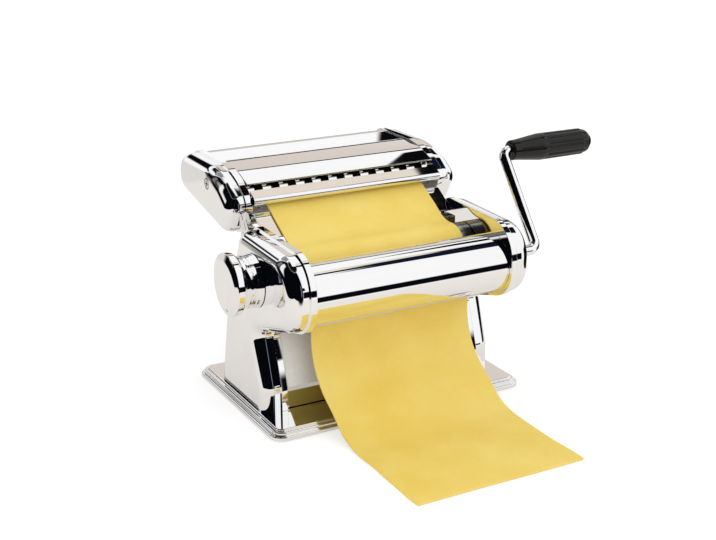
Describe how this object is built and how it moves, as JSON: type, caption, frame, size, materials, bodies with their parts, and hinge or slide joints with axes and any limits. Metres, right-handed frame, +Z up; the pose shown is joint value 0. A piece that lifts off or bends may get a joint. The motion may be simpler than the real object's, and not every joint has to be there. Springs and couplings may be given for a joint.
{
  "type": "hand-cranked dough sheet roller",
  "caption": "Table-top hand-cranked dough roller with a gap dial, a removable noodle cutter head, a stepped base and a sheet of dough running through it.",
  "frame": {"origin": "middle of the surface that the base's feet stand on", "axes": "+X towards the crank, -Y the side where the rolled sheet comes out, +Z up"},
  "size_m": [0.3055, 0.2964, 0.1737],
  "materials": {
    "chrome": "polished chrome plating on pressed steel",
    "roller": "smooth satin anodised aluminium",
    "steel": "plain machined steel",
    "gear": "cut steel with a little grease",
    "bush": "self-lubricating white nylon",
    "scraper": "white food-safe plastic",
    "rubber": "soft black rubber",
    "grip": "black moulded grip with a satin skin",
    "dough": "fresh egg dough, dry and slightly floury"
  },
  "bodies": {
    "frame": {"base_plate": "chrome", "rubber_feet": "rubber", "front_panel": "chrome", "rear_panel": "chrome", "left_side_plate": "chrome", "right_side_plate": "chrome", "left_side_cover": "chrome", "right_side_cover": "chrome", "front_roller_bushes": "bush", "front_roller_cover": "chrome", "front_scraper": "scraper", "rear_scraper": "scraper", "tie_rods": "steel", "tie_rod_nuts": "steel", "cutter_rails": "steel", "feed_plate": "chrome", "dough_sheet_upper": "dough", "dough_sheet_lower": "dough"},
    "front_roller": {"front_roller": "roller", "front_roller_gear": "gear"},
    "gap_carriage": {"left_bearing_block": "steel", "right_bearing_block": "steel", "yoke_bar": "steel", "rear_roller_bushes": "bush"},
    "rear_roller": {"rear_roller": "roller", "rear_roller_gear": "gear"},
    "dial_shaft": {"dial_shaft": "steel", "dial_cam": "steel"},
    "dial_knob": {"dial_knob": "chrome", "dial_cap": "chrome", "dial_spring": "steel"},
    "crank": {"crank_rod": "chrome", "crank_drive_pin": "steel"},
    "grip": {"crank_grip": "grip", "grip_cap": "grip"},
    "cutter_head": {"cutter_left_plate": "chrome", "cutter_right_plate": "chrome", "cutter_left_cover": "chrome", "cutter_right_cover": "chrome", "cutter_cover_screws": "steel", "cutter_bushes": "bush", "front_guide": "chrome", "centre_cover": "chrome", "rear_cover": "chrome", "wide_combs": "steel", "fine_combs": "steel", "cutter_tie_rods": "steel", "cutter_tie_nuts": "steel", "cutter_shoes": "steel"},
    "wide_front_shaft": {"wide_cutter_front": "steel", "wide_front_gear": "gear"},
    "wide_rear_shaft": {"wide_cutter_rear": "steel", "wide_rear_gear": "gear"},
    "fine_front_shaft": {"fine_cutter_front": "steel", "fine_front_gear": "gear"},
    "fine_rear_shaft": {"fine_cutter_rear": "steel", "fine_rear_gear": "gear"}
  },
  "joints": [
    {"name": "front_roller_spin", "type": "hinge", "parent": "frame", "child": "front_roller", "pos_m": [0, -0.0608, 0.1018], "axis": [1, 0, 0], "continuous": true},
    {"name": "dial_turn", "type": "hinge", "parent": "frame", "child": "dial_shaft", "pos_m": [0, -0.0258, 0.1018], "axis": [1, 0, 0], "range_deg": [0, 270]},
    {"name": "gap_slide", "type": "slide", "parent": "frame", "child": "gap_carriage", "axis": [0, -1, 0], "range_m": [0, 0.0018]},
    {"name": "rear_roller_spin", "type": "hinge", "parent": "gap_carriage", "child": "rear_roller", "pos_m": [0, -0.0258, 0.1018], "axis": [1, 0, 0], "continuous": true},
    {"name": "dial_pull", "type": "slide", "parent": "dial_shaft", "child": "dial_knob", "axis": [-1, 0, 0], "range_m": [0, 0.003], "stiffness_N_per_m": 800, "springref_m": -0.002},
    {"name": "crank_insert", "type": "slide", "parent": "front_roller", "child": "crank", "axis": [1, 0, 0], "range_m": [0, 0.03]},
    {"name": "grip_spin", "type": "hinge", "parent": "crank", "child": "grip", "pos_m": [0, -0.01466, 0.1637], "axis": [1, 0, 0], "continuous": true},
    {"name": "cutter_head_slide", "type": "slide", "parent": "frame", "child": "cutter_head", "axis": [0, 1, 0], "range_m": [0, 0.04]},
    {"name": "wide_front_spin", "type": "hinge", "parent": "cutter_head", "child": "wide_front_shaft", "pos_m": [0, 0.033, 0.1448], "axis": [1, 0, 0], "continuous": true},
    {"name": "wide_rear_spin", "type": "hinge", "parent": "cutter_head", "child": "wide_rear_shaft", "pos_m": [0, 0.051, 0.1448], "axis": [1, 0, 0], "continuous": true},
    {"name": "fine_front_spin", "type": "hinge", "parent": "cutter_head", "child": "fine_front_shaft", "pos_m": [0, 0.0725, 0.1448], "axis": [1, 0, 0], "continuous": true},
    {"name": "fine_rear_spin", "type": "hinge", "parent": "cutter_head", "child": "fine_rear_shaft", "pos_m": [0, 0.0905, 0.1448], "axis": [1, 0, 0], "continuous": true}
  ],
  "couplings": [
    {"joint": "dial_turn", "follows": "gap_slide", "rad_per_m": 2617.9},
    {"joint": "rear_roller_spin", "follows": "front_roller_spin", "ratio": -1},
    {"joint": "wide_rear_spin", "follows": "wide_front_spin", "ratio": -1},
    {"joint": "fine_rear_spin", "follows": "fine_front_spin", "ratio": -1}
  ]
}
